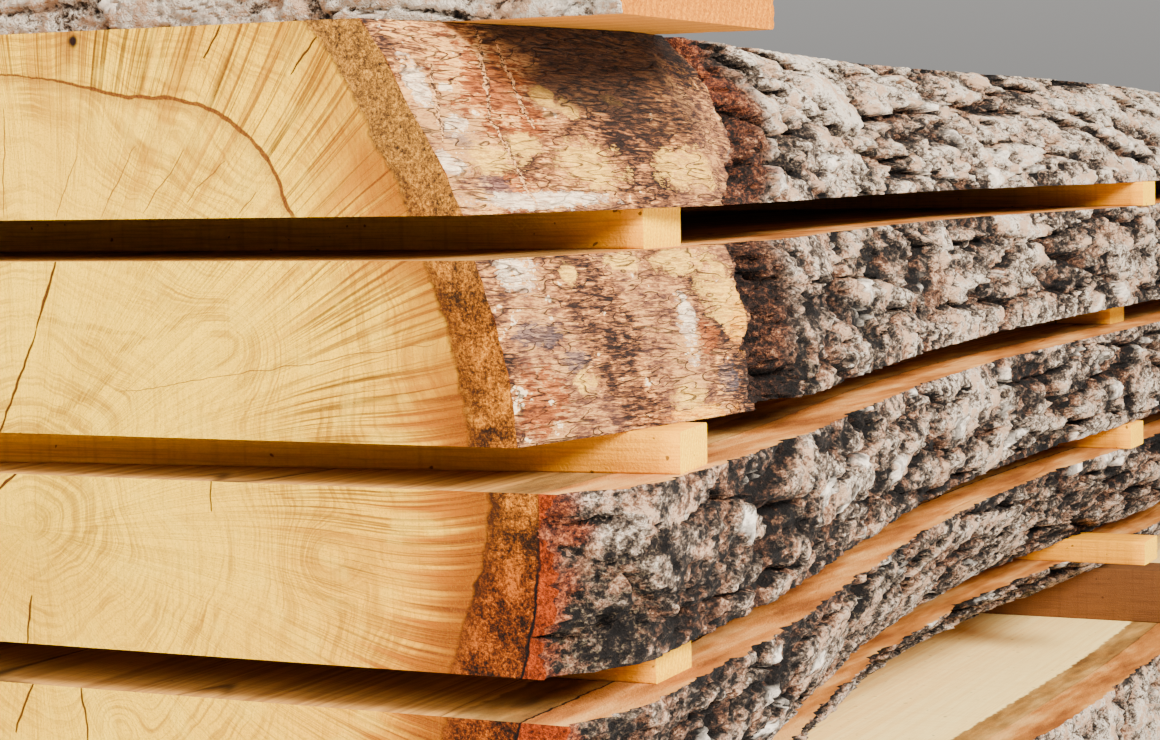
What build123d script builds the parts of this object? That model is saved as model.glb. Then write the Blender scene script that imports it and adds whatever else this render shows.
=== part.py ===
from build123d import *
import os
from math import cos, exp, pi, radians, sin

# A log sawn through and through: five slabs laid back in their order, held apart by stickers,
# on bearers over a slab of the next log, with a bark-edged board across the top.
# Millimetres. X runs across the stack, Y along the log from its butt end, Z up from the floor.

# Log
log_length = 2500.0
trunk_radius = 244.0
trunk_taper = 10.0
butt_flare = 66.0
flare_reach = 520.0
flare_power = 2.5
belly_swell = 14.0
belly_at = 1420.0
belly_reach = 360.0
pith_rise = 23.0
rise_at = 1000.0
rise_reach = 520.0
pith_below_cut = 30.0

# Hollows and ribs round the trunk: waves round, depth, turn in degrees, turn over the length
trunk_lobes = ((2, 8.0, -78.0, 90.0), (3, 4.5, 200.0, -120.0), (5, 3.0, 20.0, 160.0))

# Swellings over old branches: distance from the butt, angle above the +X side, height, half reaches
swellings = (
    (1120.0, 22.0, 26.0, 210.0, 13.0),
    (640.0, 165.0, 14.0, 130.0, 17.0),
    (1830.0, 196.0, 20.0, 150.0, 18.0),
    (2010.0, 38.0, 17.0, 120.0, 16.0),
)

# Cuts
saw_kerf = 3.0
top_slab_thickness = 89.0
slab_thickness = 83.0
bottom_slab_thickness = 40.0
base_slab_thickness = 83.0

# Bark that has come off beside the butt end of the two upper slabs: how deep the stripped side lies
# under the bark's outside at the butt and at the torn edge, and how far that edge is from the butt
bare_depth_slab_1 = 54.0
bare_depth_slab_2 = 45.0
bare_depth_at_edge = 8.0
bare_rise_length = 200.0
bare_foot_slab_1 = 220.0
bare_head_slab_1 = 281.0
bare_foot_slab_2 = 207.0
bare_head_slab_2 = 217.0

# Stickers, laid flat, one row at each of three places along the log
sticker_width = 47.0
sticker_thickness = 20.0
sticker_length = 540.0
near_row_at = 110.0
far_row_inset = 130.0

# Bearers, square timbers
bearer_size = 50.0
bearer_length = 600.0
near_bearer_at = 300.0
middle_bearer_past_row = 230.0
far_bearer_inset = 200.0

# Bark-edged board across the top slab
board_length = 590.0
board_thickness = 50.0
board_log_radius = 98.0
board_pith_height = 20.0
board_lobes = 3
board_lobe_depth = 2.5
board_at = 149.0
board_shift = 0.0

# How finely the logs are drawn; the last is 1 for even steps and less where they close up to the butt
station_count = 31
points_round = 28
board_stations = 7
station_evenness = 0.55

# Each sticker: the slab that it carries, its row, shift across, shift along, skew in degrees
sticker_places = (
    ("slab_1", "near", -8.0, 60.0, 0.0),
    ("slab_2", "near", 35.0, -34.0, 7.0),
    ("slab_3", "near", 14.0, 8.0, 1.5),
    ("slab_4", "near", 2.0, 0.0, -1.0),
    ("slab_1", "middle", -10.0, -28.0, 1.0),
    ("slab_2", "middle", -49.0, 26.0, -1.0),
    ("slab_3", "middle", -20.0, -30.0, 0.5),
    ("slab_4", "middle", -14.0, -3.0, 0.0),
    ("slab_1", "far", 6.0, 4.0, -1.0),
    ("slab_2", "far", -12.0, -10.0, 1.5),
    ("slab_3", "far", 8.0, 6.0, 0.0),
    ("slab_4", "far", -4.0, 0.0, -2.0),
)

# Half width of what cuts the log, well past its bark
cutting_reach = 2 * (trunk_radius + butt_flare)

# Places that follow from the log's length
far_row_at = log_length - far_row_inset
middle_row_at = (near_row_at + far_row_at) / 2
rows = {"near": near_row_at, "middle": middle_row_at, "far": far_row_at}
bearers = {
    "near": near_bearer_at,
    "middle": middle_row_at + middle_bearer_past_row,
    "far": log_length - far_bearer_inset,
}
slab_thicknesses = {
    "slab_1": top_slab_thickness,
    "slab_2": slab_thickness,
    "slab_3": slab_thickness,
    "slab_4": slab_thickness,
    "slab_5": bottom_slab_thickness,
}


def bump(along, centre, reach):
    """A smooth swell of height 1 at centre."""
    return exp(-(((along - centre) / reach) ** 2))


def pith_height(along):
    """Height of the pith at a distance from the butt, from the cut that carries slab 2."""
    return pith_rise * bump(along, rise_at, rise_reach) - pith_below_cut


def trunk_outline(along, angle):
    """Distance from the pith to the outside of the bark."""
    flare = butt_flare * exp(-((along / flare_reach) ** flare_power))
    belly = belly_swell * bump(along, belly_at, belly_reach)
    radius = trunk_radius - trunk_taper * along / log_length + flare + belly
    for waves, depth, turn, twist in trunk_lobes:
        radius += depth * cos(waves * angle + radians(turn + twist * along / log_length))
    for centre, side, height, reach, spread in swellings:
        round_trunk = exp(-((1 - cos(angle - radians(side))) / (1 - cos(radians(spread)))))
        radius += height * bump(along, centre, reach) * round_trunk
    return radius


def trunk_section(along, inset, place):
    """One closed outline of the trunk, drawn square to the log at place."""
    points = []
    for index in range(points_round):
        angle = 2 * pi * index / points_round - pi / 2
        radius = trunk_outline(along, angle) - inset
        points.append(Vector(radius * cos(angle), place, pith_height(along) + radius * sin(angle)))
    return Wire([Edge.make_spline(points, periodic=True)])


def station(index):
    """Distance from the butt of a section; they stand closer where the butt flares."""
    share = index / (station_count - 1)
    return log_length * (station_evenness * share + (1 - station_evenness) * share * share)


def trunk(reverse=False):
    """The log with its bark; reverse lays it the other way round."""
    sections = []
    for index in range(station_count):
        along = station(index)
        place = log_length - along if reverse else along
        sections.append(trunk_section(along, 0.0, place))
    return Solid.make_loft(sections, ruled=True)


def stripped_trunk(butt_depth):
    """The log as it is where the bark is off, from butt_depth at the butt to the depth at the torn edge."""
    sections = []
    for index in range(station_count):
        along = station(index)
        share = max(0.0, 1 - along / bare_rise_length)
        inset = bare_depth_at_edge + (butt_depth - bare_depth_at_edge) * share
        sections.append(trunk_section(along, inset, along))
    return Solid.make_loft(sections, ruled=True)


def layer(low, high):
    """A block that spans the log and keeps what lies between two heights."""
    return Pos(0, log_length / 2, (low + high) / 2) * Box(2 * cutting_reach, 2 * log_length, high - low)


def sawn(log, low, thickness):
    """The slab of a log between two level cuts, set down on height 0."""
    return Pos(0, 0, -low) * (log & layer(low, low + thickness))


def bare_patch(butt_depth, low, thickness, foot, head):
    """What is missing on the +X side where the bark is off, up to foot and head from the butt."""
    outline = [(-cutting_reach, 0), (foot, 0), (head, thickness), (-cutting_reach, thickness)]
    face = Face(Wire.make_polygon([Vector(0, along, height) for along, height in outline], close=True))
    side = Solid.extrude(face, Vector(cutting_reach, 0, 0))
    return side - Pos(0, 0, -low) * stripped_trunk(butt_depth)


def cut_heights():
    """Height in the log of each slab's lower cut; slab 2's is 0, and each cut takes out a kerf."""
    cuts = {"slab_1": slab_thickness + saw_kerf, "slab_2": 0.0}
    height = 0.0
    for name in ("slab_3", "slab_4", "slab_5"):
        height -= saw_kerf + slab_thicknesses[name]
        cuts[name] = height
    return cuts


def slabs(log):
    """The five slabs by name, each lying on height 0."""
    cuts = cut_heights()
    pieces = {name: sawn(log, low, slab_thicknesses[name]) for name, low in cuts.items()}
    edge_1 = (cuts["slab_1"], top_slab_thickness, bare_foot_slab_1, bare_head_slab_1)
    edge_2 = (cuts["slab_2"], slab_thickness, bare_foot_slab_2, bare_head_slab_2)
    pieces["slab_1"] = pieces["slab_1"] - bare_patch(bare_depth_slab_1, *edge_1)
    pieces["slab_2"] = pieces["slab_2"] - bare_patch(bare_depth_slab_2, *edge_2)
    return pieces


def base_slab():
    """A slab from the middle of the next log, which lies the other way round."""
    return sawn(trunk(reverse=True), -pith_below_cut - base_slab_thickness / 2, base_slab_thickness)


def sticker(row, shift, along_shift, skew):
    """One flat strip across the log, lying on height 0."""
    strip = Box(sticker_length, sticker_width, sticker_thickness)
    return Pos(shift, rows[row] + along_shift, sticker_thickness / 2) * Rot(0, 0, skew) * strip


def bearer(along):
    """One square timber across the log, lying on height 0."""
    return Pos(0, along, bearer_size / 2) * Box(bearer_length, bearer_size, bearer_size)


def board_section(place):
    """Outline of the small log that the top board was sawn from."""
    points = []
    for index in range(points_round):
        angle = 2 * pi * index / points_round - pi / 2
        wave = cos(board_lobes * angle + 2 * pi * place / board_length)
        radius = board_log_radius + board_lobe_depth * wave
        points.append(Vector(place, radius * cos(angle), board_pith_height + radius * sin(angle)))
    return Wire([Edge.make_spline(points, periodic=True)])


def top_board():
    """A bark-edged board from the middle of a small log, laid across the stack on height 0."""
    places = [board_length * (index / (board_stations - 1) - 0.5) for index in range(board_stations)]
    small_log = Solid.make_loft([board_section(place) for place in places], ruled=True)
    keep = Pos(0, 0, board_thickness / 2) * Box(2 * board_length, 4 * board_log_radius, board_thickness)
    return Pos(board_shift, board_at, 0) * (small_log & keep)


def stack():
    """Every piece by name, with the log's butt end at Y 0 and the floor at height 0."""
    pieces = {"base_slab": base_slab()}
    for name, along in bearers.items():
        pieces["bearer_" + name] = Pos(0, 0, base_slab_thickness) * bearer(along)
    floors = {}
    height = base_slab_thickness + bearer_size
    for name in reversed(slab_thicknesses):
        floors[name] = height
        height += slab_thicknesses[name] + sticker_thickness
    for name, slab in slabs(trunk()).items():
        pieces[name] = Pos(0, 0, floors[name]) * slab
    for name, row, shift, along_shift, skew in sticker_places:
        strip = sticker(row, shift, along_shift, skew)
        pieces[name.replace("slab", "sticker") + "_" + row] = Pos(0, 0, floors[name] - sticker_thickness) * strip
    pieces["top_board"] = Pos(0, 0, floors["slab_1"] + top_slab_thickness) * top_board()
    return pieces


def centred(pieces):
    """The pieces moved so that the middle of their box stands over the origin."""
    box = Compound(children=list(pieces.values())).bounding_box()
    middle = box.center()
    shift = Pos(-middle.X, -middle.Y, -box.min.Z)
    return {name: shift * piece for name, piece in pieces.items()}


def main():
    os.makedirs("parts", exist_ok=True)
    for name, piece in centred(stack()).items():
        solids = piece.solids()
        export_step(solids[0] if len(solids) == 1 else piece, "parts/" + name + ".step")


main()
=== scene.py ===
"""Looks of a stack of lumber: one log sawn through and through and restacked on stickers."""
import math

import bpy
import numpy as np
from mathutils import Matrix, Vector


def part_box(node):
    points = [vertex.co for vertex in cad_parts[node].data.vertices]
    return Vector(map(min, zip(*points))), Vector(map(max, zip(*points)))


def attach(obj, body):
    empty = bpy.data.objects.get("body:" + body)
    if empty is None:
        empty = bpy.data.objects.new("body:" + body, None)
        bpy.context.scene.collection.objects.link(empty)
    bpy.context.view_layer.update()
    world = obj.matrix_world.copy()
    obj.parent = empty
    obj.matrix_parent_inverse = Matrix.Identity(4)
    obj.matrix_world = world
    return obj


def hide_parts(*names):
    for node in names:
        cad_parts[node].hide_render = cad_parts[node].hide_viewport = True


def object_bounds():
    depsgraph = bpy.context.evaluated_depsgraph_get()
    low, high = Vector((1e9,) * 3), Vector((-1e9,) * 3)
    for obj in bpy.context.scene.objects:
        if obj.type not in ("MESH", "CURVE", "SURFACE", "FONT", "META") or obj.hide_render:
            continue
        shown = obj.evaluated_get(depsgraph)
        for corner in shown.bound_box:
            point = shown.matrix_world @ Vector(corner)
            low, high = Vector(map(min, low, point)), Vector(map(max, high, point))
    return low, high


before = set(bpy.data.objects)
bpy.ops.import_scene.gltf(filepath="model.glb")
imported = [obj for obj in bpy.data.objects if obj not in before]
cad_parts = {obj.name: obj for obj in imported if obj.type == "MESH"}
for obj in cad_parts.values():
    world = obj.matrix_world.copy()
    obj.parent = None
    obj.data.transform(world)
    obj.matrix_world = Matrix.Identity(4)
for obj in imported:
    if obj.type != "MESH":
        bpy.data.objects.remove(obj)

bl_info = {
    "name": "Stack of Sawn Lumber",
    "version": (1, 0, 0),
    "blender": (4, 5, 0),
    "location": "View3D > Sidebar > Lumber",
    "description": "Builds the bark, end grain and sawn faces of a restacked log on stickers",
    "category": "Add Mesh",
}

CAD_LOW, CAD_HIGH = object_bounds()
MM = 0.001

# The log, as it was sawn
LOG_LENGTH = 2500 * MM
TRUNK_RADIUS = 244 * MM
TRUNK_TAPER = 10 * MM
BUTT_FLARE = 66 * MM
FLARE_REACH = 520 * MM
FLARE_POWER = 2.5
BELLY_SWELL = 14 * MM
BELLY_AT = 1420 * MM
BELLY_REACH = 360 * MM
PITH_RISE = 23 * MM
RISE_AT = 1000 * MM
RISE_REACH = 520 * MM
PITH_BELOW_CUT = 30 * MM

# Hollows and ribs round the trunk: waves round, depth in mm, turn and its change over the length in degrees
TRUNK_LOBES = ((2, 8.0, -78.0, 90.0), (3, 4.5, 200.0, -120.0), (5, 3.0, 20.0, 160.0))

# Swellings over old branches: distance from the butt in mm, angle in degrees, height in mm, and reach
# along in mm and round in degrees
SWELLINGS = (
    (1120.0, 22.0, 26.0, 210.0, 13.0),
    (640.0, 165.0, 14.0, 130.0, 17.0),
    (1830.0, 196.0, 20.0, 150.0, 18.0),
    (2010.0, 38.0, 17.0, 120.0, 16.0),
)
SAW_KERF = 3 * MM

# The radius that turns an angle round the trunk into a length for the bark's pattern
ARC_RADIUS = 290 * MM

# Where the log's bark is off: shares of the slab's height, and the torn edge's distance from the butt in mm
BARE_EDGES = {
    "slab_1": ((0.0, 0.2, 0.41, 0.71, 1.0), (206, 238, 263, 273, 255)),
    "slab_2": ((0.0, 0.15, 0.32, 0.53, 1.0), (200, 194, 190, 205, 201)),
}

# How deep the stripped side lies under the bark's outside: at the butt low down and high up, at the edge
BARE_DEPTHS = {"slab_1": (49 * MM, 43 * MM), "slab_2": (45.5 * MM, 45.5 * MM)}
BARE_DEPTH_AT_EDGE = 4 * MM
BARE_RISE_LENGTH = 200 * MM

# Depths under the bark's outside where the inner bark starts and ends on a sawn face; it is thinner at
# the top of slab 1 and thicker from slab 3 down
PHLOEM_OUTSIDE = 36.5 * MM
PHLOEM_INSIDE_HIGH = 57 * MM
PHLOEM_INSIDE = 61 * MM
PHLOEM_INSIDE_LOW = 71 * MM

# What marks the stripped side, in mm: distance from the butt, height, and reach along and up
SCRAPES_1 = {
    "orange": ((62, 560, 30, 24), (40, 512, 16, 8)),
    "slate": ((20, 536, 9, 6), (30, 513, 14, 6)),
    "cream": ((94, 555, 8, 6), (109, 551, 9, 5), (145, 555, 8, 3), (104, 523, 24, 12), (183, 521, 26, 10),
              (37, 528, 18, 7), (60, 533, 14, 5)),
    "white": ((5, 525, 10, 5), (22, 542, 10, 5), (60, 508, 50, 4), (12, 562, 7, 12)),
}
SCRAPES_2 = {
    "orange": ((184, 461, 9, 7), (162, 437, 10, 8), (20, 418, 19, 15)),
    "slate": ((27, 448, 18, 6), (175, 417, 10, 10), (52, 434, 12, 6)),
    "yellow": ((193, 448, 11, 17), (148, 402, 28, 4)),
    "cream": ((63, 473, 6, 5), (56, 424, 9, 6), (109, 477, 16, 5), (160, 476, 26, 7), (182, 460, 16, 14),
              (139, 412, 13, 8)),
    "white": ((28, 475, 15, 9), (146, 444, 8, 17)),
}

# Each kind of mark on the stripped side: how strong it is, and its colour between the fibres and on them
MARKS = {
    "orange": (0.75, (84, 36, 10), (150, 76, 22)),
    "slate": (0.6, (30, 27, 30), (92, 82, 84)),
    "yellow": (0.85, (170, 98, 22), (236, 168, 44)),
    "cream": (0.8, (176, 126, 54), (226, 178, 74)),
    "white": (0.72, (168, 134, 104), (240, 220, 184)),
}

# Straight splits, in mm: the places of both tips and the half width. The seams lie on slab 1's stripped
# side, from the butt and the floor, and the rest on the butt end, across and up from the pith
SEAMS_1 = ((28, 571, 9, 535, 1.3), (73, 589, 49, 545, 1.3), (49, 548, 51, 505, 1.3), (81, 584, 75, 540, 1.3))
CRACKS = (
    (18, 114, 7, 80, 0.55), (7, 80, -18, 28, 0.5), (116, 204, 105, 189, 0.35), (167, 197, 152, 181, 0.35),
    (-1, -33, -6, -57, 0.5), (-20, 18, -5, 30, 0.6), (104, 30, 103, 12, 0.25), (-2, -57, -14, -84, 0.5),
    (26, -57, 29, -88, 0.4),
)
CHECKS = (
    (-8, 170, -10, 116, 0.2), (94, 148, 70, 118, 0.17), (116, 142, 95, 122, 0.14), (67, 150, 46, 116, 0.17),
    (34, 146, 20, 117, 0.14), (134, 128, 124, 118, 0.14), (53, 50, 225, 76, 0.09),
)
STREAKS = (
    (56, 61, 4, 32, 2.2), (110, 92, 52, 69, 1.6), (72, 76, 0, 87, 1.2), (196, 112, 150, 94, 1.3),
    (210, 101, 150, 79, 1.3), (223, 63, 128, 41, 1.2), (50, 10, -6, -28, 1.5), (240, 0, 128, 24, 0.9),
)

# Knots under the butt end, in mm from the pith: across, up, size, and how far they push the rings out
KNOTS = ((161, -8, 30, 34), (45, -74, 26, 26), (118, 74, 40, -30), (70, 20, 34, 20))
PIN_KNOT = (33, 199)

# Where the ring shake runs on the butt end: turn round the pith in half turns, and share of its band
SHAKE = (
    (0.0, 0.1), (0.2088, 0.44), (0.2415, 0.684), (0.2644, 0.776), (0.2877, 0.792), (0.3086, 0.752),
    (0.3347, 0.592), (0.3531, 0.456), (0.3751, 0.26), (0.4154, 0.096), (0.4662, 0.128), (0.5168, 0.212),
    (0.66, 0.3), (1.0, 0.3),
)
SHAKE_FROM = 180 * MM
SHAKE_BAND = 25 * MM

# Shades of the granular finishes: a place from 0 to 1, and the colour seen there
SHADES = {
    "tan": ((0.05, 42, 26, 12), (0.34, 92, 60, 26), (0.58, 140, 92, 30), (0.95, 196, 138, 48)),
    "amber": ((0.05, 34, 17, 5), (0.34, 84, 44, 10), (0.6, 140, 78, 10), (0.95, 200, 126, 22)),
    "rust": ((0.12, 16, 7, 2), (0.36, 52, 21, 4), (0.62, 102, 43, 3), (0.9, 160, 80, 8)),
    "orange": ((0.18, 42, 12, 3), (0.42, 98, 33, 4), (0.62, 142, 52, 6), (0.88, 186, 80, 12)),
    "dusty tan with painted light": ((0.34, 98, 68, 32), (0.5, 148, 108, 52), (0.66, 196, 154, 84)),
    "dusty orange with painted light": ((0.34, 128, 76, 30), (0.5, 184, 120, 50), (0.66, 222, 170, 96)),
    "grey bark": ((0.04, 7, 4, 3), (0.22, 22, 15, 11), (0.4, 48, 38, 30), (0.58, 86, 72, 60),
                  (0.76, 126, 112, 98), (0.96, 190, 178, 162)),
    "brown bark": ((0.1, 18, 9, 5), (0.4, 52, 30, 18), (0.64, 104, 64, 40), (0.92, 164, 124, 88)),
    "rusty bark": ((0.4, 24, 9, 5), (0.5, 84, 34, 15), (0.62, 164, 86, 42)),
    "torn bark": ((0.38, 7, 4, 3), (0.49, 40, 23, 15), (0.58, 88, 52, 33), (0.7, 170, 132, 98)),
    "stripped": ((0.05, 28, 15, 9), (0.3, 68, 40, 25), (0.52, 116, 71, 39), (0.76, 156, 101, 52),
                 (1.0, 202, 146, 80)),
}

# Each slab's bark: its material, how light it is, its scrapes and its seams. Slab 1's greater lightness is
# painted light, for its bark that faces up to the light
BARKS = {
    "slab_1": ("bark_above", 0.16, SCRAPES_1, SEAMS_1),
    "slab_2": ("bark_between", 0.05, SCRAPES_2),
    "base_slab": ("bark_below", 0.42),
}
OTHER_BARK = ("bark_beside", 0.03)

# How far the bark has crumbled away at the butt end, and over what length: on the +X side of two slabs,
# and where it is only worn
BROKEN_BUTTS = {"slab_3": 26 * MM, "slab_4": 14 * MM}
WORN_BUTT = 6 * MM
BROKEN_REACH = 76 * MM
WORN_REACH = 44 * MM

# The small log that the top board comes from
BOARD_LENGTH = 590 * MM
BOARD_LOG_RADIUS = 98 * MM
BOARD_PITH_HEIGHT = 20 * MM
BOARD_LOBE = 2.5 * MM

# How much finer its bark is than the big log's
BOARD_PITCH = 1.7

# The log's middle line and butt end in the stack
MIDDLE_X = (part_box("top_board")[0][0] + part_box("top_board")[1][0]) / 2
BUTT_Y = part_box("slab_3")[0][1]

# The photograph's camera: where it stands, its turn, rise and roll in degrees, and its lens in mm
CAMERA_EYE = (MIDDLE_X + 791.5 * MM, BUTT_Y - 1051.6 * MM, 521.6 * MM)
CAMERA_TURN, CAMERA_RISE, CAMERA_ROLL = 25.248, 4.298, -1.066
CAMERA_LENS = 82.98

SLABS = ("slab_1", "slab_2", "slab_3", "slab_4", "slab_5", "base_slab")
THIN_SLAB = 60 * MM

# Shares of the width where the sawn faces have points, close together near the bark
FACE_SHARES = np.array([0.02, 0.05, 0.09, 0.14, 0.3, 0.5, 0.7, 0.86, 0.91, 0.95, 0.98])

# How much flatter the bark is at a cut, how far that reaches, and how far chips reach
CUT_FLATTENS, CUT_REACH, CHIP_REACH = 0.72, 6 * MM, 3 * MM

# How far off the base slab's log lies in the pattern of the wood
OTHER_LOG = 3.1

# Gaps between a slab's stations at the butt end and far from it
NEAR_GAP, FAR_GAP = 2.2 * MM, 6 * MM
BASE_ROWS, BASE_STATIONS, BASE_GAP = 26, 400, 4 * MM

# Points along the board, over its edge, and along a stick, whose corners are worn
BOARD_STATIONS, BOARD_ROWS, STICK_STATIONS = 360, 36, 48
WORN_CORNER = 1.2 * MM
FLOOR_REACH = 14.0

# How far each sticker is turned from square, in degrees
SKEWS = {
    "sticker_1_near": 0.0, "sticker_2_near": 7.0, "sticker_3_near": 1.5, "sticker_4_near": -1.0,
    "sticker_1_middle": 1.0, "sticker_2_middle": -1.0, "sticker_3_middle": 0.5, "sticker_4_middle": 0.0,
    "sticker_1_far": -1.0, "sticker_2_far": 1.5, "sticker_3_far": 0.0, "sticker_4_far": -2.0,
}


def bump(along, centre, reach):
    """exp(-((along - centre) / reach) squared), a smooth swell of height 1."""
    return np.exp(-(((along - centre) / reach) ** 2))


def pith_height(along):
    """Height of the pith above slab 2's lower cut."""
    return PITH_RISE * bump(along, RISE_AT, RISE_REACH) - PITH_BELOW_CUT


def trunk_radius(along, angle):
    """Distance from the pith to the outside of the bark: taper, butt flare, belly, lobes, swellings."""
    flare = BUTT_FLARE * np.exp(-((along / FLARE_REACH) ** FLARE_POWER))
    radius = TRUNK_RADIUS - TRUNK_TAPER * along / LOG_LENGTH + flare
    radius = radius + BELLY_SWELL * bump(along, BELLY_AT, BELLY_REACH)
    for waves, depth, turn, twist in TRUNK_LOBES:
        phase = np.radians(turn + twist * along / LOG_LENGTH)
        radius = radius + depth * MM * np.cos(waves * angle + phase)
    for centre, side, height, reach, spread in SWELLINGS:
        spread_round = (1 - np.cos(angle - math.radians(side))) / (1 - math.cos(math.radians(spread)))
        radius = radius + height * MM * bump(along, centre * MM, reach * MM) * np.exp(-spread_round)
    return radius


def board_log_radius(along, angle):
    """Distance from the small log's pith to the outside of its bark."""
    return BOARD_LOG_RADIUS + BOARD_LOBE * np.cos(3 * angle + 2 * math.pi * along / BOARD_LENGTH)


def log_side(radius_of, rise, along, side, inset=0.0):
    """Half width of a log at a rise above its pith, and the angle there: radius * sin(tilt) = rise."""
    tilt = np.zeros_like(rise)
    for _ in range(12):
        angle = tilt if side > 0 else math.pi - tilt
        radius = radius_of(along, angle) - inset
        tilt = np.arcsin(np.clip(rise / radius, -0.98, 0.98))
    angle = tilt if side > 0 else math.pi - tilt
    return radius * np.cos(tilt), angle


def lattice(column, row, seed):
    """A number from 0 to 1 for each lattice point, by multiplying and shifting its whole numbers."""
    mixed = column.astype(np.int64) * 374761393 + row.astype(np.int64) * 668265263 + seed * 982451653
    mixed = (mixed ^ (mixed >> 13)) * 1274126177
    mixed = mixed ^ (mixed >> 16)
    return (mixed & 0xFFFFFF).astype(np.float64) / 0xFFFFFF


def noise(u, v, seed):
    """Smooth noise of about -1 to 1: each lattice point's own slope, blended by a quintic."""
    u0, v0 = np.floor(u), np.floor(v)
    du, dv = u - u0, v - v0
    blend_u = du ** 3 * (du * (du * 6 - 15) + 10)
    blend_v = dv ** 3 * (dv * (dv * 6 - 15) + 10)
    total = 0.0
    for i in (0, 1):
        for j in (0, 1):
            turn = 2 * math.pi * lattice(u0 + i, v0 + j, seed)
            slope = np.cos(turn) * (du - i) + np.sin(turn) * (dv - j)
            total = total + slope * (blend_u if i else 1 - blend_u) * (blend_v if j else 1 - blend_v)
    return total * 1.5


def rough(u, v, seed, octaves=3, fall=0.55):
    """Noise added to itself at twice the pitch and fall times the height, octave by octave."""
    total = np.zeros_like(u)
    size = 1.0
    for octave in range(octaves):
        total = total + size * noise(u * 2 ** octave, v * 2 ** octave, seed + octave)
        size *= fall
    return total


def cells(u, v, seed):
    """Distances to the nearest and second nearest of one jittered point per lattice square, with the
    nearest's number and offset."""
    first = np.full(u.shape, 9.0)
    second = np.full(u.shape, 9.0)
    number = np.zeros_like(u)
    aside = np.zeros_like(u)
    above = np.zeros_like(u)
    u0, v0 = np.floor(u), np.floor(v)
    for du in (-1, 0, 1):
        for dv in (-1, 0, 1):
            pu = u0 + du + 0.1 + 0.8 * lattice(u0 + du, v0 + dv, seed)
            pv = v0 + dv + 0.1 + 0.8 * lattice(u0 + du, v0 + dv, seed + 57)
            away = np.hypot(u - pu, v - pv)
            nearer = away < first
            second = np.where(nearer, first, np.minimum(second, away))
            number = np.where(nearer, lattice(u0 + du, v0 + dv, seed + 113), number)
            aside = np.where(nearer, u - pu, aside)
            above = np.where(nearer, v - pv, above)
            first = np.where(nearer, away, first)
    return first, second, number, aside, above


def step(low, high, value):
    """0 below low, 1 above high, and a smooth S between."""
    share = np.clip((value - low) / (high - low), 0, 1)
    return share * share * (3 - 2 * share)


def ledges(height, rise, steep):
    """Flat treads with a steep riser in the last part of every rise."""
    level = np.floor(height / rise)
    return rise * (level + step(1 - steep, 1.0, height / rise - level))


def bark_relief(along, arc):
    """Height of the bark over its middle surface and its tone, over length and girth. The tone falls with
    depth: in the furrows and pits it is partly the bark's own darker colour and partly painted shade.

    Plates are cells stretched along the trunk, and where two cells are equally near a furrow opens,
    wider or narrower by a slow noise. A plate is a heap of broken layers, ledges(noise), with pits
    and crumbs, and a few small cells are smooth flakes that lie over the crumbs."""
    u = along + 0.024 * noise(along / 0.12, arc / 0.05, 3)
    v = arc + 0.01 * rough(along / 0.17, arc / 0.08, 5, 2) + 0.0055 * rough(along / 0.034, arc / 0.02, 9, 3)
    one, two, plate, _, _ = cells(u / 0.2, v / 0.04, 11)
    reach = np.clip(0.13 + 0.24 * noise(along / 0.085, arc / 0.04, 17), 0.03, 0.4)
    furrow = 1 - step(0.0, 1.0, (two - one) / reach)
    furrow = furrow * np.clip(0.35 + reach / 0.22, 0.4, 1.15)
    body = 5.0 * (plate - 0.5) + ledges(7.5 * rough(u / 0.085, v / 0.026, 29, 4, 0.6), 4.2, 0.3)
    crumbs = rough(along / 0.013, arc / 0.0085, 33, 3, 0.75)
    pit = step(0.3, 0.75, noise(u / 0.026, v / 0.012, 37))
    height = body - 12.0 * furrow - 6.5 * pit + 1.9 * crumbs
    one, _, number, aside, above = cells((u + 0.3 * v) / 0.042, v / 0.019, 43)
    flake = step(0.86, 0.87, number) * (1 - step(0.3, 0.36, one + 0.16 * rough(u / 0.008, v / 0.006, 47, 2)))
    flake = flake * (1 - furrow) * step(-7, -3, height)
    smooth = body + 1.8 + 1.2 * aside + 1.8 * above
    height = height * (1 - flake) + smooth * flake + 2.2
    height = np.where(height > 4, 4 + (height - 4) * 0.4, height)
    height = np.maximum(height, -15)
    # The tone falls with depth, so the furrows and pits carry painted shade over their own darker colour
    return height * MM, np.clip(0.56 + height / 16, 0, 1), flake


class Flow:
    """One socket of a node tree. Python's operators on it add Math nodes."""

    def __init__(self, tree, socket):
        self.tree = tree
        self.socket = socket

    def maths(self, operation, *others):
        node = self.tree.nodes.new("ShaderNodeMath")
        node.operation = operation
        for index, value in enumerate((self,) + others):
            plug(self.tree, node.inputs[index], value)
        return Flow(self.tree, node.outputs[0])

    def __add__(self, other):
        return self.maths("ADD", other)

    __radd__ = __add__

    def __mul__(self, other):
        return self.maths("MULTIPLY", other)

    __rmul__ = __mul__

    def __sub__(self, other):
        return self.maths("SUBTRACT", other)

    def __rsub__(self, other):
        return (self * -1.0).maths("ADD", other)

    def __truediv__(self, other):
        return self.maths("DIVIDE", other)

    def __pow__(self, other):
        return self.maths("POWER", other)

    def step(self, low, high):
        """0 below low, 1 above high, and a smooth S between; low may be the greater."""
        node = self.tree.nodes.new("ShaderNodeMapRange")
        node.interpolation_type = "SMOOTHSTEP"
        for name, value in (("Value", self), ("From Min", low), ("From Max", high)):
            plug(self.tree, node.inputs[name], value)
        return Flow(self.tree, node.outputs[0])


def paint(red, green, blue):
    """A colour given as it is seen, 0 to 255, turned into the linear values that nodes take."""
    shown = np.array([red, green, blue]) / 255
    linear = np.where(shown <= 0.04045, shown / 12.92, ((shown + 0.055) / 1.055) ** 2.4)
    return (*linear.tolist(), 1.0)


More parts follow.
